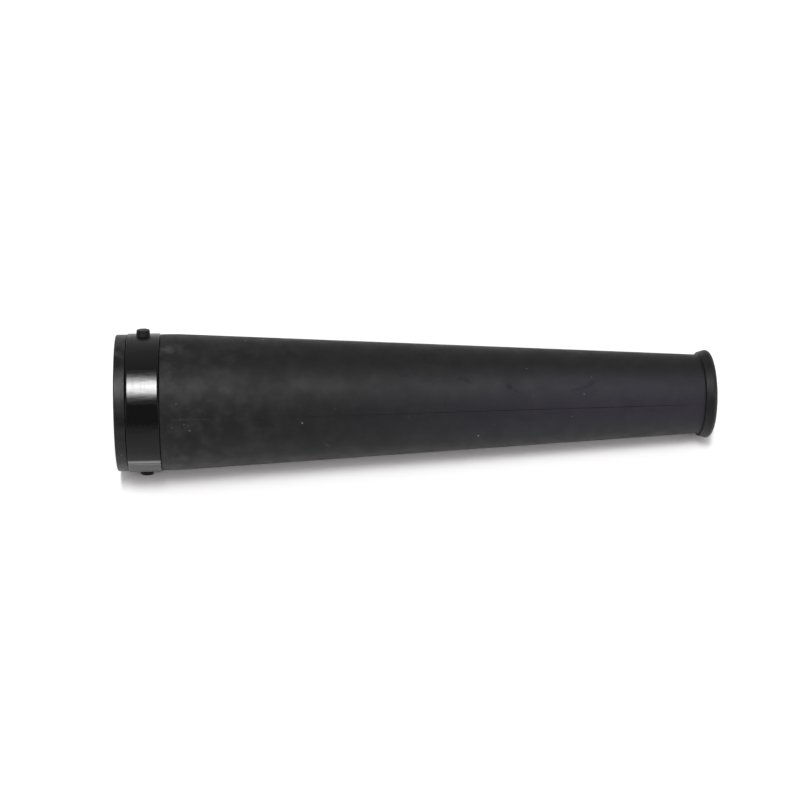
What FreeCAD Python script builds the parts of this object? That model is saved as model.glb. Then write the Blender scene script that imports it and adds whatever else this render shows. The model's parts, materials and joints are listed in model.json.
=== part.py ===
import FreeCAD, Part
import math
import os

# Nozzle tube of a leaf blower. The tube is one rubber moulding: a sealing lip at the big end, a groove,
# a short parallel shoulder, a long straight taper and a bead round the tip. A hard plastic ring with two
# opposite bayonet pins locks the nozzle to the machine. The ring is split, so that it can be sprung open
# over the lip and close in the groove. Its end below the split stands a little proud.
#
# The nozzle lies as it comes to rest on a floor: on the ring and on the bead, rolled until the lower pin
# all but meets the floor. That pin points down and to one side. +X runs from the big end to the tip,
# +Z is up, and the origin is the middle of the underside. Lengths are millimetres.

# Bayonet ring, which sets the size of the big end
ring_diameter = 61.3
ring_width = 14.3
ring_thickness = 2.15
ring_edge_chamfer = 0.3
pin_diameter = 5.8
pin_height = 2.5
pin_top_chamfer = 0.3
pin_root_fillet = 0.35
split_gap = 0.3
split_from_pin = 45.0
raised_end_height = 0.6
raised_end_reach = 32.0

# Seat of the ring in the tube's groove
ring_seat_clearance = 0.05
ring_side_gap = 0.2
ring_over_lip = 0.4
ring_over_shoulder = 0.45

# Rubber tube, from the big end to the tip
overall_length = 265.6
lip_length = 4.9
lip_edge_chamfer = 0.4
groove_edge_chamfer = 0.25
shoulder_length = 7.6
shoulder_blend_radius = 80.0
tip_diameter = 35.7
bead_length = 5.2
bead_back_height = 1.1
bead_height = 2.0
bead_back_chamfer = 0.2
bead_crest_width = 0.2
bead_front_round = 1.8

# Air passage through the tube
groove_wall = 2.15
tip_wall = 3.45
inlet_length = 22.0
mouth_chamfer = 0.8

# Rest on the floor
pin_floor_gap = 0.1

# How closely the pin's root edge and the roll are found
edge_match = 0.01
roll_match = 1e-7

# Stations along the axis
ring_start = lip_length + ring_side_gap
ring_end = ring_start + ring_width
groove_end = ring_end + ring_side_gap
taper_start = groove_end + shoulder_length
bead_start = overall_length - bead_length
bead_crest = overall_length - bead_front_round - bead_crest_width
pin_station = (ring_start + ring_end) / 2

# Radii
ring_radius = ring_diameter / 2
ring_bore_radius = ring_radius - ring_thickness
groove_radius = ring_bore_radius - ring_seat_clearance
lip_radius = ring_radius - ring_over_lip
shoulder_radius = ring_radius - ring_over_shoulder
inlet_radius = groove_radius - groove_wall
tip_radius = tip_diameter / 2
bead_back_radius = tip_radius + bead_back_height
bead_radius = tip_radius + bead_height
outlet_radius = tip_radius - tip_wall
pin_radius = pin_diameter / 2

axis_x = FreeCAD.Vector(1, 0, 0)
axis_y = FreeCAD.Vector(0, 1, 0)
axis_z = FreeCAD.Vector(0, 0, 1)
centre = FreeCAD.Vector(0, 0, 0)


def sharp(x, z):
    """Outline corner that stays sharp."""
    return FreeCAD.Vector(x, 0, z), "sharp", 0.0


def chamfered(x, z, size):
    """Outline corner cut off by a flat that starts this far from it on both sides."""
    return FreeCAD.Vector(x, 0, z), "chamfered", size


def rounded(x, z, radius):
    """Outline corner turned by an arc."""
    return FreeCAD.Vector(x, 0, z), "rounded", radius


def turned(corners, axis):
    """Solid turned about an axis from a closed outline of corners in the XZ plane."""
    points = [corner[0] for corner in corners]
    starts = []
    ends = []
    turns = []
    for i, (point, kind, size) in enumerate(corners):
        back = (points[i - 1] - point).normalize()
        ahead = (points[(i + 1) % len(points)] - point).normalize()
        half_angle = back.getAngle(ahead) / 2
        setback = size / math.tan(half_angle) if kind == "rounded" else size
        start = point + back * setback
        end = point + ahead * setback
        if kind == "rounded":
            inward = (back + ahead).normalize()
            middle = point + inward * (size / math.sin(half_angle) - size)
            turns.append([Part.Arc(start, middle, end).toShape()])
        elif kind == "chamfered":
            turns.append([Part.makeLine(start, end)])
        else:
            turns.append([])
        starts.append(start)
        ends.append(end)
    edges = []
    for i, turn in enumerate(turns):
        edges.append(Part.makeLine(ends[i - 1], starts[i]))
        edges.extend(turn)
    face = Part.Face(Part.Wire(edges))
    return face.revolve(centre, axis, 360)


def make_nozzle_tube():
    """The rubber moulding, axis along X with the big end at 0."""
    return turned([
        chamfered(0, inlet_radius, mouth_chamfer),
        chamfered(0, lip_radius, lip_edge_chamfer),
        chamfered(lip_length, lip_radius, groove_edge_chamfer),
        sharp(lip_length, groove_radius),
        sharp(groove_end, groove_radius),
        chamfered(groove_end, shoulder_radius, groove_edge_chamfer),
        rounded(taper_start, shoulder_radius, shoulder_blend_radius),
        sharp(bead_start, tip_radius),
        chamfered(bead_start, bead_back_radius, bead_back_chamfer),
        sharp(bead_crest, bead_radius),
        rounded(overall_length, bead_radius, bead_front_round),
        chamfered(overall_length, outlet_radius, mouth_chamfer),
        sharp(inlet_length, inlet_radius),
    ], axis_x)


def make_pin():
    """One bayonet pin standing on the ring along +Z, with its root inside the ring's wall."""
    root = (ring_bore_radius + ring_radius) / 2
    top = ring_radius + pin_height
    pin = turned([
        sharp(0, root),
        sharp(pin_radius, root),
        chamfered(pin_radius, top, pin_top_chamfer),
        sharp(0, top),
    ], axis_z)
    pin.translate(axis_x * pin_station)
    return pin


def is_pin_root(edge):
    """True for the edge where a pin's side meets the outside of the ring."""
    point = edge.valueAt((edge.FirstParameter + edge.LastParameter) / 2)
    from_ring_axis = math.hypot(point.y, point.z)
    from_pin_axis = math.hypot(point.x - pin_station, point.y)
    on_ring = abs(from_ring_axis - ring_radius) < edge_match
    on_pin = abs(from_pin_axis - pin_radius) < edge_match
    return on_ring and on_pin


def make_raised_end():
    """The end of the ring below the split, whose outside rises towards the split like a shifted circle."""
    shift = raised_end_height / math.sin(math.radians(raised_end_reach))
    raised_end = turned([
        sharp(ring_start + ring_edge_chamfer, ring_radius - ring_thickness / 3),
        sharp(ring_start + ring_edge_chamfer, ring_radius),
        sharp(ring_end - ring_edge_chamfer, ring_radius),
        sharp(ring_end - ring_edge_chamfer, ring_radius - ring_thickness / 3),
    ], axis_x)
    raised_end.translate(axis_y * -shift)
    raised_end.rotate(centre, axis_x, raised_end_reach - split_from_pin)
    below_split = Part.makeBox(ring_width, ring_diameter, ring_diameter, FreeCAD.Vector(ring_start, 0, -ring_diameter))
    below_split.rotate(centre, axis_x, -split_from_pin)
    return raised_end.common(below_split)


def make_split():
    """What the split takes out of the ring: a fine gap that leaves the edge of the raised end rounded."""
    half_gap = split_gap / 2
    mouth = half_gap + raised_end_height
    mouth_depth = math.sqrt((ring_radius + raised_end_height) ** 2 - mouth ** 2)
    neck_depth = mouth_depth - raised_end_height
    slant = raised_end_height * math.sqrt(0.5)
    top = FreeCAD.Vector(lip_length, -half_gap, 0)
    bottom = FreeCAD.Vector(lip_length, -half_gap, -ring_diameter)
    round_bottom = FreeCAD.Vector(lip_length, mouth, -ring_diameter)
    round_end = FreeCAD.Vector(lip_length, mouth, -mouth_depth)
    round_middle = FreeCAD.Vector(lip_length, mouth - slant, -neck_depth - slant)
    round_start = FreeCAD.Vector(lip_length, half_gap, -neck_depth)
    round_top = FreeCAD.Vector(lip_length, half_gap, 0)
    outline = Part.Wire([
        Part.makeLine(top, bottom),
        Part.makeLine(bottom, round_bottom),
        Part.makeLine(round_bottom, round_end),
        Part.Arc(round_end, round_middle, round_start).toShape(),
        Part.makeLine(round_start, round_top),
        Part.makeLine(round_top, top),
    ])
    split = Part.Face(outline).extrude(axis_x * (groove_end - lip_length))
    split.rotate(centre, axis_x, -split_from_pin)
    return split


def make_bayonet_ring():
    """The hard split ring with its two opposite pins, in place round the groove."""
    ring = turned([
        chamfered(ring_start, ring_bore_radius, ring_edge_chamfer),
        chamfered(ring_start, ring_radius, ring_edge_chamfer),
        chamfered(ring_end, ring_radius, ring_edge_chamfer),
        chamfered(ring_end, ring_bore_radius, ring_edge_chamfer),
    ], axis_x)
    for turn in (0, 180):
        pin = make_pin()
        pin.rotate(centre, axis_x, turn)
        ring = ring.fuse(pin)
    ring = ring.removeSplitter()
    roots = [edge for edge in ring.Edges if is_pin_root(edge)]
    ring = ring.makeFillet(pin_root_fillet, roots)
    return ring.fuse(make_raised_end()).cut(make_split()).Solids[0]


# Rims of the big end that can meet the floor, as station and radius, and the rounded rim of the bead
big_end_rims = [
    (lip_edge_chamfer, lip_radius),
    (ring_end - ring_edge_chamfer, ring_radius),
    (taper_start, shoulder_radius),
]
bead_round_station = overall_length - bead_front_round
bead_round_centre = bead_radius - bead_front_round


def floor_slope(station, radius):
    """Angle between the axis and a floor that touches this rim and the bead."""
    run = bead_round_station - station
    drop = radius - bead_round_centre
    return math.atan2(drop, run) - math.asin(bead_front_round / math.hypot(run, drop))


tilt = max(floor_slope(station, radius) for station, radius in big_end_rims)


def depth_of(station, radius):
    """How far a point straight below the axis lies under the middle of the big end."""
    return station * math.sin(tilt) + radius * math.cos(tilt)


floor_depth = depth_of(bead_round_station, bead_round_centre) + bead_front_round


def pin_gap(lean):
    """Height of the lower pin above the floor when it leans this far from straight down."""
    end_rims = [
        (ring_radius + pin_height, pin_radius - pin_top_chamfer),
        (ring_radius + pin_height - pin_top_chamfer, pin_radius),
    ]
    slant = math.hypot(math.sin(tilt), math.sin(lean) * math.cos(tilt))
    depths = [depth_of(pin_station, reach * math.cos(lean)) + rim * slant for reach, rim in end_rims]
    return floor_depth - max(depths)


# The roll that leaves the stated gap under the lower pin, found by halving
steep = 0.0
lean = math.pi / 2
while lean - steep > roll_match:
    middle = (steep + lean) / 2
    if pin_gap(middle) < pin_floor_gap:
        steep = middle
    else:
        lean = middle

# Lay both pieces down and put the origin under the middle of the nozzle
pieces = {"nozzle_tube": make_nozzle_tube(), "bayonet_ring": make_bayonet_ring()}
for piece in pieces.values():
    piece.rotate(centre, axis_x, -math.degrees(lean))
    piece.rotate(centre, axis_y, math.degrees(tilt))
box = Part.makeCompound(list(pieces.values())).optimalBoundingBox()
to_origin = FreeCAD.Vector(-box.Center.x, -box.Center.y, -box.ZMin)

os.makedirs("parts", exist_ok=True)
for name, piece in pieces.items():
    piece.translate(to_origin)
    piece.exportStep(f"parts/{name}.step")
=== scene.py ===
import json
import math
import random

import bmesh
import bpy
from mathutils import Matrix, Quaternion, Vector


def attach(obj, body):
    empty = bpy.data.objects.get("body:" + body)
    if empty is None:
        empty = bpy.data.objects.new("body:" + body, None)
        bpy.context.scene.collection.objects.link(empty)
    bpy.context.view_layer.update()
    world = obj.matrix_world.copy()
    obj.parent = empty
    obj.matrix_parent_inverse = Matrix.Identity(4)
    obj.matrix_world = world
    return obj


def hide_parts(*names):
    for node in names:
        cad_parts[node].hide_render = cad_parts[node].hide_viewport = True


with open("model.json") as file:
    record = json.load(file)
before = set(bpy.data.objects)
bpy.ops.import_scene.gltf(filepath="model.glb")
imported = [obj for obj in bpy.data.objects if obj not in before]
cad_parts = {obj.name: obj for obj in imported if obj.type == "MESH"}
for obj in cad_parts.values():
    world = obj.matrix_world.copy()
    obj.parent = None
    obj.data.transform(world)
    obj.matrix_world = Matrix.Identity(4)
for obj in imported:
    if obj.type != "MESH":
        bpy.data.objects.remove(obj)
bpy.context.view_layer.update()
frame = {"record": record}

# Nozzle tube: one rubber moulding, pressed in a two-part mould round a tapered core. The halves meet a
# hair's breadth out of line, and trimmed flash leaves a fine groove down both sides, a quarter turn from
# the pins. The rubber is matt black, clouded with talc at the big end, and a little scuffed and dusty; two
# pale patches at the big end and a bluish sheen towards the tip are painted light.
mm = 0.001
lip_length = 4.9 * mm
groove_end = 19.6 * mm
taper_start = 27.2 * mm
bead_start = 260.4 * mm
bead_crest = 263.6 * mm
tube_length = 265.6 * mm
inlet_length = 22.0 * mm
lip_radius = 30.25 * mm
groove_radius = 28.45 * mm
shoulder_radius = 30.2 * mm
tip_radius = 17.85 * mm
bead_back_radius = 18.95 * mm
bead_radius = 19.85 * mm
inlet_radius = 26.3 * mm
outlet_radius = 14.4 * mm
rim_round = 0.5 * mm
groove_edge_round = 0.3 * mm
inner_corner_round = 0.2 * mm
shoulder_blend = 80 * mm
bead_back_round = 0.5 * mm
bead_crest_round = 0.4 * mm
bead_front_round = 1.75 * mm
mouth_round = 0.8 * mm
bore_blend = 12 * mm
row_step = 4.0 * mm
hold_row = 0.15 * mm
shortest_run = 3 * hold_row
arc_step = math.radians(12)
least_arc_cells = 2

# The nozzle is drawn level, with X from the rim to the tip and Z towards the upper pin, and then laid down
mounts = {mount["name"]: mount for mount in frame["record"]["mounts"]}
along = -Vector(mounts["sealing_lip"]["axis"]).normalized()
side = Vector(mounts["upper_bayonet_pin"]["axis"]).cross(along).normalized()
towards_pin = along.cross(side)
lie = Matrix((along, side, towards_pin)).transposed().to_4x4()
lie.translation = Vector(mounts["sealing_lip"]["pos_m"]) - along * lip_length / 2


def round_corners(corners):
    """Points of a closed outline whose corners, given as station, radius and round, are turned by arcs."""
    arcs = []
    for i, (station, radius, turn) in enumerate(corners):
        here = Vector((station, radius))
        back = (Vector(corners[i - 1][:2]) - here).normalized()
        ahead = (Vector(corners[(i + 1) % len(corners)][:2]) - here).normalized()
        half_angle = back.angle(ahead) / 2
        setback = turn / math.tan(half_angle)
        inward = (back + ahead).normalized()
        centre = here + inward * turn / math.sin(half_angle)
        sweep = math.pi - 2 * half_angle
        cells = max(least_arc_cells, math.ceil(sweep / arc_step))
        start = here + back * setback - centre
        end = here + ahead * setback - centre
        arc = []
        for k in range(cells + 1):
            share = k / cells
            swung = start * math.sin((1 - share) * sweep) + end * math.sin(share * sweep)
            arc.append(centre + swung / math.sin(sweep))
        arcs.append(arc)
    outline = []
    for i, arc in enumerate(arcs):
        outline.extend(arc)
        run = arcs[(i + 1) % len(arcs)][0] - arc[-1]
        if run.length > shortest_run:
            stops = [hold_row / run.length]
            steps = math.ceil(run.length / row_step)
            stops.extend(k / steps for k in range(1, steps))
            stops.append(1 - hold_row / run.length)
            outline.extend(arc[-1] + run * stop for stop in stops)
    return outline


tube_outline = round_corners([
    (0, lip_radius, rim_round),
    (lip_length, lip_radius, groove_edge_round),
    (lip_length, groove_radius, inner_corner_round),
    (groove_end, groove_radius, inner_corner_round),
    (groove_end, shoulder_radius, groove_edge_round),
    (taper_start, shoulder_radius, shoulder_blend),
    (bead_start, tip_radius, inner_corner_round),
    (bead_start, bead_back_radius, bead_back_round),
    (bead_crest, bead_radius, bead_crest_round),
    (tube_length, bead_radius, bead_front_round),
    (tube_length, outlet_radius, mouth_round),
    (inlet_length, inlet_radius, bore_blend),
    (0, inlet_radius, mouth_round),
])

# The outline runs along the outside, round the tip and back through the bore
last_outside_row = max(range(len(tube_outline)), key=lambda i: tube_outline[i].x + tube_outline[i].y)

# The parting seam: its trimmed groove, and the columns that hold its edges sharp
mould_shift = 0.1 * mm
seam_half_widths = [0.06 * mm, 0.12 * mm, 0.15 * mm]
seam_margin = 0.6 * mm
seam_depth = 0.5 * mm
least_trimmed = 0.5
faint_seam = 0.12
seam_starts = 55 * mm
seam_full = 105 * mm
seam_wanes = 240 * mm
most_gape = 1.0
gape_starts = 110 * mm
gape_ends = 270 * mm
columns_a_half = 142
half_margin = math.radians(2.6)
column_spread = (math.pi - 2 * half_margin) / (columns_a_half - 1)

trimming = random.Random(4)
seam_by_row = [trimming.uniform(least_trimmed, 1.0) * seam_depth for point in tube_outline]


def clamp(share):
    """The share, kept between 0 and 1."""
    return min(max(share, 0), 1)


def seam_gape(station):
    """How many times wider the groove is here than near the rim: it gapes most well before the tip."""
    return 1 + most_gape * math.sin(math.pi * clamp((station - gape_starts) / (gape_ends - gape_starts)))


def seam_share(station):
    """Share of its depth that the groove has here: the flash was trimmed almost clean near both ends."""
    risen = clamp((station - seam_starts) / (seam_full - seam_starts))
    left = clamp((bead_start - station) / (bead_start - seam_wanes))
    share = min(risen, left)
    return faint_seam + (1 - faint_seam) * share * share * (3 - 2 * share)


def point_at(station, radius, angle):
    """Point at a station and a radius, this far round from the upper pin towards the near side."""
    return station, -radius * math.sin(angle), radius * math.cos(angle)


tube_vertices = []
for row, point in enumerate(tube_outline):
    outside = row <= last_outside_row
    gape = seam_gape(point.x) if outside else 1
    depth = seam_by_row[row] * gape * seam_share(point.x) if outside else 0
    seam_radius = max(point.y, tip_radius)
    seam_angles = [half_width * gape / seam_radius for half_width in seam_half_widths]
    seam_angles.append(seam_margin / seam_radius)
    for first_seam, shift in ((-math.pi / 2, mould_shift), (math.pi / 2, 0)):
        last_seam = first_seam + math.pi
        angles = [first_seam + angle for angle in seam_angles]
        angles.extend(first_seam + half_margin + k * column_spread for k in range(columns_a_half))
        angles.extend(last_seam - angle for angle in reversed(seam_angles))
        for column, angle in enumerate(angles):
            in_seam = column in (0, len(angles) - 1)
            x, y, z = point_at(point.x, point.y - (depth if in_seam else 0), angle)
            tube_vertices.append((x, y - (shift if outside else 0), z))

tube_columns = 2 * (columns_a_half + 2 * (len(seam_half_widths) + 1))
tube_rows = len(tube_outline)
tube_faces = []
for row in range(tube_rows):
    for column in range(tube_columns):
        here = row * tube_columns
        ahead = (row + 1) % tube_rows * tube_columns
        next_column = (column + 1) % tube_columns
        tube_faces.append((here + column, here + next_column, ahead + next_column, ahead + column))


def smooth_piece(name, vertices, faces):
    """A smooth-shaded piece from mesh lists, laid down with the nozzle, its faces turned outwards.

    Each point keeps its place on the level nozzle, so that a finish can follow the nozzle's own axes."""
    mesh = bpy.data.meshes.new(name)
    mesh.from_pydata(vertices, [], faces)
    on_nozzle = mesh.attributes.new("on_nozzle", "FLOAT_VECTOR", "POINT")
    on_nozzle.data.foreach_set("vector", [number for vertex in vertices for number in vertex])
    mesh.transform(lie)
    shell = bmesh.new()
    shell.from_mesh(mesh)
    bmesh.ops.recalc_face_normals(shell, faces=shell.faces)
    shell.to_mesh(mesh)
    shell.free()
    mesh.shade_smooth()
    piece = bpy.data.objects.new(name, mesh)
    bpy.context.scene.collection.objects.link(piece)
    return piece


tube = smooth_piece("rubber_tube", tube_vertices, tube_faces)


def new_material(name):
    """A new material of nodes, and its shader."""
    material = bpy.data.materials.new(name)
    material.use_nodes = True
    return material, material.node_tree.nodes["Principled BSDF"]


def add_node(material, kind, inputs, **settings):
    """A new shader node, with each input set to a value or joined to another node's output."""
    node = material.node_tree.nodes.new(kind)
    for name, value in settings.items():
        setattr(node, name, value)
    for socket, value in inputs.items():
        if isinstance(value, bpy.types.NodeSocket):
            material.node_tree.links.new(value, node.inputs[socket])
        else:
            node.inputs[socket].default_value = value
    return node


def combine(material, operation, first, second):
    """Two values put together by one step of arithmetic."""
    return add_node(material, "ShaderNodeMath", {0: first, 1: second}, operation=operation).outputs[0]


def add_share(material, value, mask, amount):
    """The value, with this amount added where the mask is full."""
    return combine(material, "ADD", value, combine(material, "MULTIPLY", mask, amount))


def measure(material, operation, *vectors):
    """One number taken from a vector or two, such as a length or a distance."""
    node = add_node(material, "ShaderNodeVectorMath", dict(enumerate(vectors)), operation=operation)
    return node.outputs["Value"]


def scaled(material, vector, scale):
    """A vector, scaled by its own amount along each axis."""
    return add_node(material, "ShaderNodeMapping", {"Vector": vector, "Scale": scale}).outputs["Vector"]


def cloud(material, vector, grain, detail):
    """Noise whose blotches are about one grain across, in metres."""
    sockets = {"Vector": vector, "Scale": 1 / grain, "Detail": detail}
    return add_node(material, "ShaderNodeTexNoise", sockets).outputs["Fac"]


def band(material, value, low, high, from_level=0.0, to_level=1.0):
    """A value eased from one level to another as it passes from low to high."""
    node = add_node(material, "ShaderNodeMapRange", {
        "Value": value, "From Min": low, "From Max": high, "To Min": from_level, "To Max": to_level,
    }, interpolation_type="SMOOTHSTEP")
    return node.outputs["Result"]


def shade(material, share, first, second):
    """A colour that goes from the first to the second as the share goes from 0 to 1."""
    sockets = {0: share, 6: first, 7: second}
    return add_node(material, "ShaderNodeMix", sockets, data_type="RGBA").outputs[2]


def grey(level):
    """A neutral colour."""
    return level, level, level, 1


rubber, rubber_shader = new_material("tube_rubber")
place = add_node(rubber, "ShaderNodeAttribute", {}, attribute_name="on_nozzle").outputs["Vector"]
along_tube = add_node(rubber, "ShaderNodeSeparateXYZ", {"Vector": place}).outputs["X"]


def on_tube(millimetres, degrees):
    """Point on the tube's outside, this far along it and this far round it."""
    station = millimetres * mm
    share = clamp((station - taper_start) / (bead_start - taper_start))
    radius = shoulder_radius + (tip_radius - shoulder_radius) * share
    return Vector(point_at(station, radius, math.radians(degrees)))


def mark(first, last, half_width, core, strength):
    """Mask of a mark drawn on the tube, at its strength in its core and faded out at its half width.

    Its ends are in millimetres along the tube and degrees round it, its half width in millimetres."""
    start = on_tube(*first)
    end = on_tube(*last)
    line = end - start
    turned = line.to_track_quat("X", "Z").to_euler()
    size = (line.length / 2 + half_width * mm, half_width * mm, half_width * mm)
    local = add_node(rubber, "ShaderNodeMapping", {
        "Vector": place, "Location": (start + end) / 2, "Rotation": turned, "Scale": size,
    }, vector_type="TEXTURE").outputs["Vector"]
    return band(rubber, measure(rubber, "LENGTH", local), core, 1.0, strength, 0.0)


def gather(masks):
    """The strongest of several masks at each point."""
    gathered = masks[0]
    for mask in masks[1:]:
        gathered = combine(rubber, "MAXIMUM", gathered, mask)
    return gathered


# Mould talc: a thin bloom near the big end, with four thicker pale patches, each as its ends, half width,
# core and strength. Two patches are talc; the one on the lip's top is painted light from above, and the one
# under the shoulder at 143 degrees is a painted reflection of the floor.
pale_grain = 6 * mm
bloom_starts = 10 * mm
bloom_ends = 110 * mm
rim_bloom = 0.26
far_bloom = 0.05
talc_and_light_patches = [
    # Painted light from above on the lip's top, in the talc's cloudy pattern
    ((1, 12), (4, 34), 6.0, 0.3, 0.8),
    ((20, 29), (27, 25), 6.5, 0.2, 1.0),
    # Painted reflection of the floor on the shoulder's underside
    ((20, 143), (28, 143), 6.0, 0.1, 1.0),
    ((24, 122), (34, 126), 6.0, 0.1, 1.0),
]
pale_cloud = band(rubber, cloud(rubber, place, pale_grain, detail=6.0), low=0.4, high=0.7)
bloom = band(rubber, along_tube, bloom_starts, bloom_ends, rim_bloom, far_bloom)
talc_and_light_mask = gather([mark(*patch) for patch in talc_and_light_patches])
# The pale mask: talc, with painted light on the lip's top and a painted floor reflection under the shoulder
talc_and_light = combine(rubber, "MULTIPLY", pale_cloud, combine(rubber, "MAXIMUM", talc_and_light_mask, bloom))

# Dust specks and pale smears, each as its ends, half width and strength, and loose dust that lies in drifts
speck_core = 0.2
speck_grain = 0.8 * mm
dust_grain = 0.9 * mm
dust_drift = 14 * mm
most_dust = 0.07
pale_marks = [
    ((24.5, 89.2), (33.5, 89.3), 0.55, 0.1),
    ((33.5, 89.3), (42.5, 89.0), 0.5, 0.05),
    ((29.8, 93.4), (30.3, 93.5), 0.5, 0.4),
    ((31.7, 94.4), (31.9, 94.8), 0.5, 0.15),
    ((32.2, 99.0), (32.6, 99.3), 0.55, 0.4),
    ((24.5, 96.1), (25.1, 96.1), 0.6, 0.1),
    ((26.9, 75.7), (26.9, 76.5), 0.6, 0.12),
    ((22.6, 25.0), (24.8, 27.5), 3.4, 0.13),
    ((57.0, 7.5), (57.2, 7.6), 0.5, 0.7),
    ((80.9, 95.8), (81.1, 95.9), 0.5, 1.0),
    ((158.5, 121.3), (158.8, 121.5), 0.5, 1.0),
    ((205.2, 72.5), (205.6, 72.7), 0.5, 0.25),
    ((209.0, 50.2), (208.9, 53.0), 0.4, 0.16),
    ((199.6, 100.4), (200.1, 100.4), 0.5, 0.2),
    ((180.0, 40.7), (180.5, 40.7), 0.5, 0.2),
    ((164.8, 106.7), (165.6, 106.7), 0.5, 0.16),
    ((90.2, 119.5), (93.6, 126.0), 0.6, 0.12),
    ((2.5, 122.6), (2.9, 122.9), 0.45, 0.5),
    ((64.6, 1.5), (65.0, 1.6), 0.6, 1.0),
]
specks = gather([
    mark(first, last, half_width, speck_core, strength) for first, last, half_width, strength in pale_marks
])
ragged = band(rubber, cloud(rubber, place, speck_grain, detail=3.0), low=0.3, high=0.55)
drifts = band(rubber, cloud(rubber, place, dust_drift, detail=3.0), 0.45, 0.65, to_level=most_dust)
loose_dust = band(rubber, cloud(rubber, place, dust_grain, detail=1.0), low=0.66, high=0.78)
loose_dust = combine(rubber, "MULTIPLY", loose_dust, drifts)
dusty = combine(rubber, "MAXIMUM", combine(rubber, "MULTIPLY", specks, ragged), loose_dust)

# Scuffed arcs and smudges, rougher and so duller than the rest, written in the same way
scuff_core = 0.1
scuff_grain = 1.5 * mm
scuff_marks = [
    ((148.4, 55.2), (151.7, 53.5), 1.2, 0.9),
    ((151.7, 53.5), (155.0, 59.2), 1.0, 0.8),
    ((171.3, 61.5), (172.9, 65.3), 1.5, 1.0),
    ((172.9, 65.3), (176.5, 70.6), 1.0, 0.7),
    ((198.7, 68.4), (205.0, 65.6), 1.1, 0.7),
    ((205.0, 65.2), (211.0, 56.0), 2.0, 0.9),
    ((124.0, 52.0), (128.0, 50.0), 0.9, 0.6),
    ((143.5, 81.0), (143.5, 85.0), 0.8, 0.7),
    ((148.0, 80.6), (149.2, 85.5), 0.8, 0.8),
    ((230.2, 72.0), (229.5, 85.0), 0.6, 0.5),
    ((247.6, 82.5), (248.2, 84.5), 1.5, 0.7),
    ((234.0, 95.6), (237.0, 95.0), 1.3, 0.8),
]
scuffs = gather([
    mark(first, last, half_width, scuff_core, strength) for first, last, half_width, strength in scuff_marks
])
patchy = band(rubber, cloud(rubber, place, scuff_grain, detail=3.0), low=0.3, high=0.5)
scuffs = combine(rubber, "MULTIPLY", scuffs, patchy)

# The rubber turns a little paler and bluer towards the tip, most of all along its sides, where this is a
# painted bluish sheen that brightens the glow band on the near side
tone_grain = 6 * mm
turn_starts = 70 * mm
turn_ends = 230 * mm
big_end_tones = (0.0015, 0.0015, 0.0017, 1), (0.005, 0.005, 0.0056, 1)
tip_top_tones = grey(0.004), grey(0.007)
tip_sheen_tones = (0.01, 0.0092, 0.0143, 1), (0.0135, 0.0127, 0.0188, 1)
across_axis = (0.0, 1.0, 1.0)
clouding = cloud(rubber, place, tone_grain, detail=4.0)
off_axis = scaled(rubber, place, across_axis)
outwards = add_node(rubber, "ShaderNodeVectorMath", {0: off_axis}, operation="NORMALIZE").outputs["Vector"]
sideways = add_node(rubber, "ShaderNodeSeparateXYZ", {"Vector": outwards}).outputs["Y"]
to_either_side = add_node(rubber, "ShaderNodeMath", {0: sideways}, operation="ABSOLUTE").outputs[0]
# The sides, which carry the tip's painted sheen
sheen_on_sides = band(rubber, to_either_side, low=0.5, high=1.0)
big_end_tone = shade(rubber, clouding, *big_end_tones)
tip_top_tone = shade(rubber, clouding, *tip_top_tones)
tip_sheen_tone = shade(rubber, clouding, *tip_sheen_tones)
tip_tone_and_sheen = shade(rubber, sheen_on_sides, tip_top_tone, tip_sheen_tone)
rubber_tone = shade(rubber, band(rubber, along_tube, turn_starts, turn_ends), big_end_tone, tip_tone_and_sheen)

# The lip and the bead are darker, and the front edge of the bead, the talc with its patches of painted
# light, the bore and the dust are paler
fade = 0.5 * mm
front_edge_flat = 0.6 * mm
bore_skin = 0.1 * mm
end_tone = (0.0028, 0.0027, 0.0028, 1)
front_edge_tone = grey(0.02)
talc_and_light_tone = grey(0.035)
bore_tone = grey(0.03)
dust_tone = (0.2, 0.2, 0.195, 1)
on_lip = band(rubber, along_tube, lip_length, lip_length + fade, 1.0, 0.0)
on_bead = band(rubber, along_tube, bead_start - fade, bead_start)
on_ends = combine(rubber, "MAXIMUM", on_lip, on_bead)
front_edge = band(rubber, along_tube, bead_crest, tube_length - front_edge_flat)
bore_taper = (inlet_radius - outlet_radius) / (tube_length - inlet_length)
bore_level = inlet_radius + bore_taper * inlet_length
from_bore = add_share(rubber, measure(rubber, "LENGTH", off_axis), along_tube, bore_taper)
in_bore = band(rubber, from_bore, bore_level + bore_skin, bore_level + fade, 1.0, 0.0)
for mask, tone in (
    (on_ends, end_tone),
    (front_edge, front_edge_tone),
    (talc_and_light, talc_and_light_tone),
    (in_bore, bore_tone),
    (dusty, dust_tone),
):
    rubber_tone = shade(rubber, mask, rubber_tone, tone)
rubber.node_tree.links.new(rubber_tone, rubber_shader.inputs["Base Color"])

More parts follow.
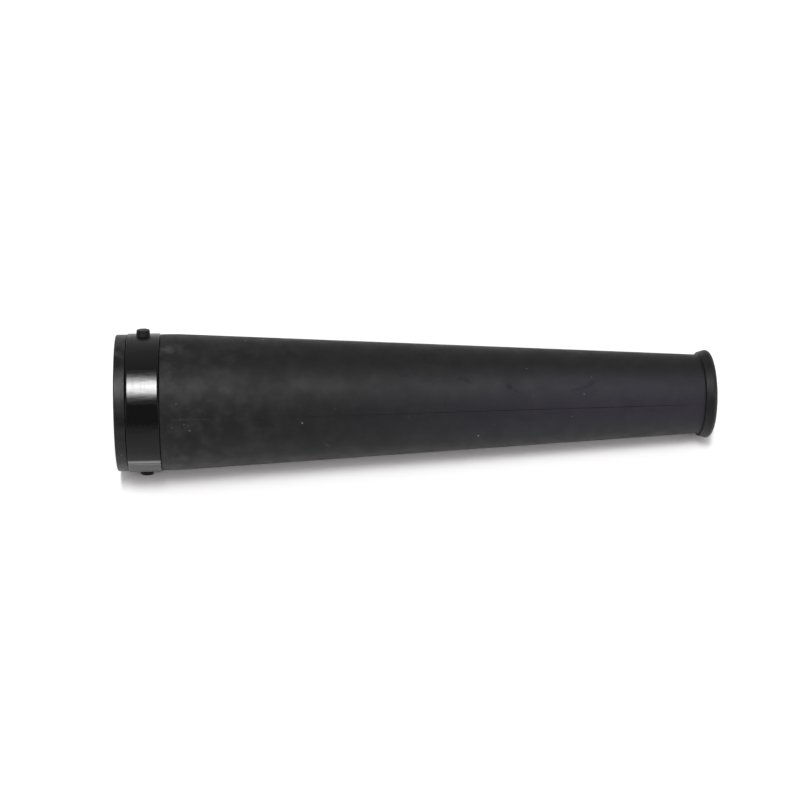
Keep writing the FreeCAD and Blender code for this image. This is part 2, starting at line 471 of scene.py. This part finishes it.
# The skin is finely grained and unevenly dull, but smoother at the lip and the bead
rubber_specular = 0.24
dull_grain = 9 * mm
least_dull = 0.52
most_dull = 0.62
scuff_roughness = 0.24
lip_polish = 0.17
bead_polish = 0.07
skin_grain = 0.35 * mm
skin_strength = 0.25
skin_height = 0.05 * mm
rubber_shader.inputs["Specular IOR Level"].default_value = rubber_specular
dullness = cloud(rubber, place, dull_grain, detail=4.0)
rubber_roughness = band(rubber, dullness, 0.3, 0.7, least_dull, most_dull)
rubber_roughness = add_share(rubber, rubber_roughness, scuffs, scuff_roughness)
rubber_roughness = add_share(rubber, rubber_roughness, on_lip, -lip_polish)
rubber_roughness = add_share(rubber, rubber_roughness, on_bead, -bead_polish)
rubber.node_tree.links.new(rubber_roughness, rubber_shader.inputs["Roughness"])
skin = cloud(rubber, place, skin_grain, detail=2.0)
skin_bump = add_node(rubber, "ShaderNodeBump", {
    "Height": skin, "Strength": skin_strength, "Distance": skin_height,
})
rubber.node_tree.links.new(skin_bump.outputs["Normal"], rubber_shader.inputs["Normal"])
tube.data.materials.append(rubber)

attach(tube, "root")
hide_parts("nozzle_tube")

# Bayonet ring: one hard gloss-black plastic moulding with two opposite locking pins. It is split an eighth
# of a turn from the lower pin, sprung open over the lip and closed in the groove behind it. The end below
# the split stands a little proud. Both ends are painted pale at the split as a painted highlight, the
# raised end carries a fainter painted reflection of the floor, and the lower half is painted darker as
# painted shade.
ring_start = 5.1 * mm
ring_width = 14.3 * mm
ring_end = ring_start + ring_width
ring_radius = 30.65 * mm
ring_thickness = 2.15 * mm
ring_edge_round = 0.35 * mm
split_gap = 0.3 * mm
split_angle = math.radians(135)
split_edge_round = 0.15 * mm
raised_end_height = 0.6 * mm
raised_end_reach = math.radians(32)
pin_radius = mounts["upper_bayonet_pin"]["dims"]["r_mm"] * mm
pin_height = 2.5 * mm
pin_top_round = 0.45 * mm
pin_root_round = 0.4 * mm
pin_draft = 0.15 * mm
pin_station = ring_start + ring_width / 2

outside_cells = 24
bore_cells = 10
corner_cells = 4
raised_end_cells = 12
pin_cells = 10
pin_round_cells = 4
half_turn_columns = 172
column_step = math.pi / half_turn_columns


def ring_section(inset, drop):
    """Closed outline of the ring's wall as station and radius, its outside first.

    The wall is drawn in all round by the inset, and its outside comes down further by the drop."""
    low = ring_start + inset
    high = ring_end - inset
    outer = ring_radius - inset - drop
    inner = ring_radius - ring_thickness + inset
    turn = ring_edge_round - inset
    run = high - low - 2 * turn
    section = [(low + turn + run * k / outside_cells, outer) for k in range(outside_cells + 1)]

    def round_edge(station, radius, first_degrees, cells):
        """Adds the points round an edge, after the one at its first angle."""
        for k in range(1, cells + 1):
            angle = math.radians(first_degrees - 90 * k / corner_cells)
            section.append((station + turn * math.cos(angle), radius + turn * math.sin(angle)))

    round_edge(high - turn, outer - turn, 90, corner_cells)
    section.append((high, inner + turn))
    round_edge(high - turn, inner + turn, 0, corner_cells)
    section.extend((high - turn - run * k / bore_cells, inner) for k in range(1, bore_cells + 1))
    round_edge(low + turn, inner + turn, 270, corner_cells)
    section.append((low, outer - turn))
    round_edge(low + turn, outer - turn, 180, corner_cells - 1)
    return section


def raised_by(angle):
    """How far the outside rises at an angle below the split, like a circle shifted towards it."""
    shift = raised_end_height / math.sin(raised_end_reach)
    turn = angle - (split_angle + raised_end_reach - math.pi / 2)
    reach = shift * math.cos(turn) + math.sqrt(ring_radius ** 2 - (shift * math.sin(turn)) ** 2)
    return reach - ring_radius if split_angle <= angle <= split_angle + raised_end_reach else 0.0


def end_columns(outside_round, cells):
    """Columns at a split end, as distance from the end, inset of the edges and drop of the outside."""
    columns = []
    for k in range(cells + 1):
        from_end = outside_round * (1 - math.cos(math.pi / 2 * k / cells))
        drop = outside_round - math.sqrt(outside_round ** 2 - (outside_round - from_end) ** 2)
        edge_left = max(split_edge_round - from_end, 0)
        inset = split_edge_round - math.sqrt(split_edge_round ** 2 - edge_left ** 2)
        columns.append((from_end, inset, max(drop - inset, 0)))
    columns.append((outside_round + hold_row, 0.0, 0.0))
    return columns


def past_middle(from_end, radius):
    """Angle between the middle of the split and a column this far from its end."""
    return math.asin((split_gap / 2 + from_end) / radius)


# Columns round the ring, from the raised end below the split to the plain end above it
raised_columns = end_columns(raised_end_height, raised_end_cells)
plain_columns = end_columns(split_edge_round, corner_cells)
past_raised = past_middle(raised_end_height + 2 * hold_row, ring_radius)
past_plain = past_middle(split_edge_round + 2 * hold_row, ring_radius)
first_clear = math.ceil((split_angle + past_raised) / column_step)
last_clear = math.floor((split_angle + 2 * math.pi - past_plain) / column_step)

ring_vertices = []
for from_end, inset, drop in raised_columns:
    rise = raised_by(split_angle + past_middle(from_end, ring_radius))
    for station, radius in ring_section(inset, drop - rise):
        ring_vertices.append(point_at(station, radius, split_angle + past_middle(from_end, radius)))
for k in range(first_clear, last_clear + 1):
    angle = k * column_step
    for station, radius in ring_section(0.0, -raised_by(angle)):
        ring_vertices.append(point_at(station, radius, angle))
for from_end, inset, drop in reversed(plain_columns):
    for station, radius in ring_section(inset, drop):
        ring_vertices.append(point_at(station, radius, split_angle - past_middle(from_end, radius)))

section_points = len(ring_section(0.0, 0.0))
lattice_shift = len(raised_columns) - first_clear
ring_columns = len(ring_vertices) // section_points
pin_columns = [2 * half_turn_columns, half_turn_columns]
middle_row = outside_cells // 2
pin_rows = range(middle_row - pin_cells, middle_row + pin_cells)
ring_faces = []
for column in range(ring_columns - 1):
    cell_middle = column + 0.5 - lattice_shift
    under_pin = any(abs(cell_middle - pin_column) < pin_cells for pin_column in pin_columns)
    for row in range(section_points):
        if under_pin and row in pin_rows:
            continue
        here = column * section_points
        ahead = here + section_points
        next_row = (row + 1) % section_points
        ring_faces.append((here + row, here + next_row, ahead + next_row, ahead + row))
ring_faces.append(tuple(range(section_points)))
ring_faces.append(tuple(range(len(ring_vertices) - section_points, len(ring_vertices))))

# Each pin grows out of a square opening left in the ring's outside: loops close in to a circle on the ring,
# climb the rounded root, the sides and the rounded edge of the top, and close in to its middle
root_radius = pin_radius + pin_draft + pin_root_round
top_radius = pin_radius - pin_top_round
top_level = ring_radius + pin_height
closing_in = (0.3, 0.6, 0.85, 1.0)
across_top = (0.9, 0.5, 0.2)
edge_cells = range(-pin_cells, pin_cells)
opening = [(-pin_cells, k) for k in edge_cells] + [(k, pin_cells) for k in edge_cells]
opening += [(pin_cells, -k) for k in edge_cells] + [(-k, -pin_cells) for k in edge_cells]


def ring_level(spot):
    """Height of the ring's outside over its axis at a spot beside the pin."""
    return math.sqrt(ring_radius ** 2 - spot.y ** 2)


for pin_column, up in zip(pin_columns, (1, -1)):
    loop = []
    corners = []
    for row, column in opening:
        index = (column + pin_column + lattice_shift) * section_points + middle_row + row
        loop.append(index)
        corners.append(Vector((ring_vertices[index][0] - pin_station, -up * ring_vertices[index][1])))
    outwards_from_pin = [corner.normalized() for corner in corners]
    circles = []
    for share in closing_in:
        spots = [corner.lerp(way * root_radius, share) for corner, way in zip(corners, outwards_from_pin)]
        circles.append([(spot, ring_level(spot)) for spot in spots])
    for k in range(1, pin_round_cells + 1):
        angle = math.pi / 2 * k / pin_round_cells
        spots = [way * (root_radius - pin_root_round * math.sin(angle)) for way in outwards_from_pin]
        lift = pin_root_round * (1 - math.cos(angle))
        circles.append([(spot, ring_level(spot) + lift) for spot in spots])
    for k in range(pin_round_cells + 1):
        angle = math.pi / 2 * k / pin_round_cells
        reach = pin_radius - pin_top_round * (1 - math.cos(angle))
        level = top_level - pin_top_round * (1 - math.sin(angle))
        circles.append([(way * reach, level) for way in outwards_from_pin])
    for share in across_top:
        circles.append([(way * top_radius * share, top_level) for way in outwards_from_pin])
    for circle in circles:
        first = len(ring_vertices)
        for spot, level in circle:
            ring_vertices.append((pin_station + spot.x, -up * spot.y, up * level))
        new_loop = list(range(first, first + len(circle)))
        for k in range(len(loop)):
            after = (k + 1) % len(loop)
            ring_faces.append((loop[k], loop[after], new_loop[after], new_loop[k]))
        loop = new_loop
    ring_faces.append(tuple(loop))

bayonet_ring = smooth_piece("pinned_ring", ring_vertices, ring_faces)

# The plastic is glossy, with fine streaks round it from being turned home, and duller on the pins,
# round the upper pin and on the lower half
gloss_specular = 0.22
round_ring = (1.0, 0.05, 0.05)
streak_grain = 0.9 * mm
most_streaked = 0.07
lip_side_roughness = 0.08
far_side_roughness = 0.05
dull_below = -6 * mm
glossy_above = 6 * mm
lower_roughness = 0.26
dull_round_pin = 30 * mm
glossy_below_pin = 27 * mm
round_pin_roughness = 0.22
pin_foot = 0.1 * mm
pin_roughness = 0.25
gloss, gloss_shader = new_material("ring_plastic")
gloss_shader.inputs["Specular IOR Level"].default_value = gloss_specular
ring_place = add_node(gloss, "ShaderNodeAttribute", {}, attribute_name="on_nozzle").outputs["Vector"]
ring_axes = add_node(gloss, "ShaderNodeSeparateXYZ", {"Vector": ring_place}).outputs
from_axis = measure(gloss, "LENGTH", scaled(gloss, ring_place, across_axis))
on_pins = band(gloss, from_axis, ring_radius + pin_foot, ring_radius + fade)
drawn_out = scaled(gloss, ring_place, round_ring)
streaks = band(gloss, cloud(gloss, drawn_out, streak_grain, detail=4.0), 0.45, 0.75, to_level=most_streaked)
side_roughness = band(gloss, ring_axes["X"], ring_start, ring_end, lip_side_roughness, far_side_roughness)
lower_half = band(gloss, ring_axes["Z"], dull_below, glossy_above, lower_roughness, 0.0)
round_pin = band(gloss, ring_axes["Z"], glossy_below_pin, dull_round_pin, 0.0, round_pin_roughness)
rubbed = combine(gloss, "MAXIMUM", lower_half, round_pin)
gloss_roughness = combine(gloss, "ADD", combine(gloss, "ADD", streaks, side_roughness), rubbed)
gloss_roughness = add_share(gloss, gloss_roughness, on_pins, pin_roughness)
gloss.node_tree.links.new(gloss_roughness, gloss_shader.inputs["Roughness"])

# Its surface is slightly wavy from the moulding, with fine wear over that
along_ring = (0.35, 1.0, 1.0)
wave_grain = 3.2 * mm
wave_strength = 1.0
wave_height = 0.06 * mm
wear_grain = 0.5 * mm
wear_strength = 0.05
wear_depth = 0.05 * mm
waves = cloud(gloss, scaled(gloss, ring_place, along_ring), wave_grain, detail=2.0)
wave_bump = add_node(gloss, "ShaderNodeBump", {
    "Height": waves, "Strength": wave_strength, "Distance": wave_height,
})
wear = cloud(gloss, drawn_out, wear_grain, detail=3.0)
gloss_bump = add_node(gloss, "ShaderNodeBump", {
    "Height": wear, "Strength": wear_strength, "Distance": wear_depth,
    "Normal": wave_bump.outputs["Normal"],
})
gloss.node_tree.links.new(gloss_bump.outputs["Normal"], gloss_shader.inputs["Normal"])

# Both ends are painted pale at the split, a painted highlight along its edges, and the raised end carries a
# fainter pale band, a painted reflection of the floor. In millimetres past the split, the pale starts on
# the plain end, is fainter on the raised one and fades out along it
pale_split_stages = [(-3.0, -1.4, 0.0, 1.0), (-0.3, 0.5, 1.0, 0.45), (4.0, 14.0, 1.0, 0.0)]
pale_split_starts_over = 0.8 * ring_radius
pale_split_full_over = 0.9 * ring_radius
dark_below = -6 * mm
paler_above = 2 * mm
plastic_tone = (0.004, 0.004, 0.0043, 1)
painted_shade_tone = grey(0.0005)
pale_split_tone = (0.18, 0.18, 0.185, 1)
below_split = (0.0, -math.cos(split_angle), -math.sin(split_angle))
at_split = (0.0, -math.sin(split_angle), math.cos(split_angle))
past_split = measure(gloss, "DOT_PRODUCT", ring_place, below_split)
towards_split = measure(gloss, "DOT_PRODUCT", ring_place, at_split)
# Painted highlight at the split and painted floor reflection on the raised end
pale_at_split = band(gloss, towards_split, pale_split_starts_over, pale_split_full_over)
for low, high, from_level, to_level in pale_split_stages:
    stage = band(gloss, past_split, low * mm, high * mm, from_level, to_level)
    pale_at_split = combine(gloss, "MULTIPLY", pale_at_split, stage)
# Painted shade: the ring's lower half is painted darker, which deepens its reflection there
painted_shade_below = band(gloss, ring_axes["Z"], dark_below, paler_above, 1.0, 0.0)
gloss_tone = shade(gloss, painted_shade_below, plastic_tone, painted_shade_tone)
gloss_tone = shade(gloss, pale_at_split, gloss_tone, pale_split_tone)
gloss.node_tree.links.new(gloss_tone, gloss_shader.inputs["Base Color"])
bayonet_ring.data.materials.append(gloss)

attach(bayonet_ring, "root")
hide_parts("bayonet_ring")

# Studio: white paper that gives way to a grey table further out, a softbox high on the camera's side,
# built in layers so that it is brightest in its middle, a soft lamp beyond each end, and a dim room that
# is lighter behind the nozzle.
floor_reach = 8.0
paper_middle = (0, 0.2, 0)
paper_reach = 0.45
table_reach = 1.1
white_paper = grey(0.97)
grey_table = grey(0.45)
paper_roughness = 0.9
floor_corners = [(x * floor_reach, y * floor_reach, 0) for x, y in ((-1, -1), (1, -1), (1, 1), (-1, 1))]
floor_mesh = bpy.data.meshes.new("paper_floor")
floor_mesh.from_pydata(floor_corners, [], [(0, 1, 2, 3)])
floor = bpy.data.objects.new("paper_floor", floor_mesh)
bpy.context.scene.collection.objects.link(floor)
paper, paper_shader = new_material("white_paper")
floor_spot = add_node(paper, "ShaderNodeTexCoord", {}).outputs["Object"]
from_middle = measure(paper, "DISTANCE", floor_spot, paper_middle)
paper_tone = shade(paper, band(paper, from_middle, paper_reach, table_reach), white_paper, grey_table)
paper.node_tree.links.new(paper_tone, paper_shader.inputs["Base Color"])
paper_shader.inputs["Roughness"].default_value = paper_roughness
paper_shader.inputs["Specular IOR Level"].default_value = 0.0
floor_mesh.materials.append(paper)

lamps_aim = Vector((0, 0, 30 * mm))
softbox_distance = 4.0
softbox_elevation = math.radians(67.8)
softbox_spread = math.radians(8.3)
softbox_width = 0.46
softbox_shift = Vector((-0.14, 0, 0))
softbox_layers = 10
layer_step = 0.02
middle_glow = 58.0
fill_distance = 2.5
fill_elevation = math.radians(33)
fill_forward = 0.9
fill_size = 1.2
fill_colour = (1.0, 0.94, 0.975)
left_fill_power = 14.0
right_fill_power = 16.0


def hang_lamp(lamp, towards, distance, shift):
    """Hangs a lamp this far out from the nozzle, facing back along the same line."""
    hung = bpy.data.objects.new(lamp.name, lamp)
    hung.location = lamps_aim + towards * distance + shift
    hung.rotation_euler = (-towards).to_track_quat("-Z", "Y").to_euler()
    bpy.context.scene.collection.objects.link(hung)


# The layers' heights and glows add up to a bell curve
towards_softbox = Vector((0, -math.cos(softbox_elevation), math.sin(softbox_elevation)))
for layer in range(softbox_layers):
    half_angle = 2 * softbox_spread * math.sqrt(math.log(softbox_layers / (layer + 0.5)))
    layer_glow = middle_glow * (2 * layer + 1) / softbox_layers ** 2
    lamp = bpy.data.lights.new(f"softbox_layer_{layer + 1}", "AREA")
    lamp.shape = "RECTANGLE"
    lamp.size = softbox_width
    lamp.size_y = 2 * softbox_distance * math.tan(half_angle)
    lamp.energy = layer_glow * math.pi * lamp.size * lamp.size_y
    hang_lamp(lamp, towards_softbox, softbox_distance - layer * layer_step, softbox_shift)

for name, end, fill_power in (("left_fill", -1, left_fill_power), ("right_fill", 1, right_fill_power)):
    lamp = bpy.data.lights.new(name, "AREA")
    lamp.size = fill_size
    lamp.energy = fill_power
    lamp.color = fill_colour
    towards_fill = Vector((end * math.cos(fill_elevation), -fill_forward, math.sin(fill_elevation)))
    hang_lamp(lamp, towards_fill.normalized(), fill_distance, Vector())

room_front = grey(0.1)
room_back = grey(0.66)
room_turn = 0.9
room = bpy.data.worlds.new("dim_room")
room.use_nodes = True
bpy.context.scene.world = room
direction = add_node(room, "ShaderNodeTexCoord", {}).outputs["Generated"]
backwards_share = add_node(room, "ShaderNodeSeparateXYZ", {"Vector": direction}).outputs["Y"]
room_tone = shade(room, band(room, backwards_share, -room_turn, room_turn), room_front, room_back)
room.node_tree.links.new(room_tone, room.node_tree.nodes["Background"].inputs["Color"])
bpy.context.scene.view_settings.view_transform = "Standard"

# Camera: it looks down on the nozzle from the side that the lower pin points to, almost square to its
# length, with a long lens from just under a metre away.
view_elevation = math.radians(42.06)
view_azimuth = math.radians(-3.58)
view_roll = math.radians(-0.387)
view_distance = 0.896
view_aim = Vector((-6.995 * mm, 0, 24.995 * mm))
focal_length = 90
sensor_width = 36
camera_lens = bpy.data.cameras.new("camera")
camera_lens.lens = focal_length
camera_lens.sensor_width = sensor_width
camera = bpy.data.objects.new("camera", camera_lens)
towards_camera = Vector((
    math.sin(view_azimuth) * math.cos(view_elevation),
    -math.cos(view_azimuth) * math.cos(view_elevation),
    math.sin(view_elevation),
))
camera.location = view_aim + towards_camera * view_distance
facing = (-towards_camera).to_track_quat("-Z", "Y") @ Quaternion((0, 0, 1), view_roll)
camera.rotation_euler = facing.to_euler()
bpy.context.scene.collection.objects.link(camera)
bpy.context.scene.camera = camera
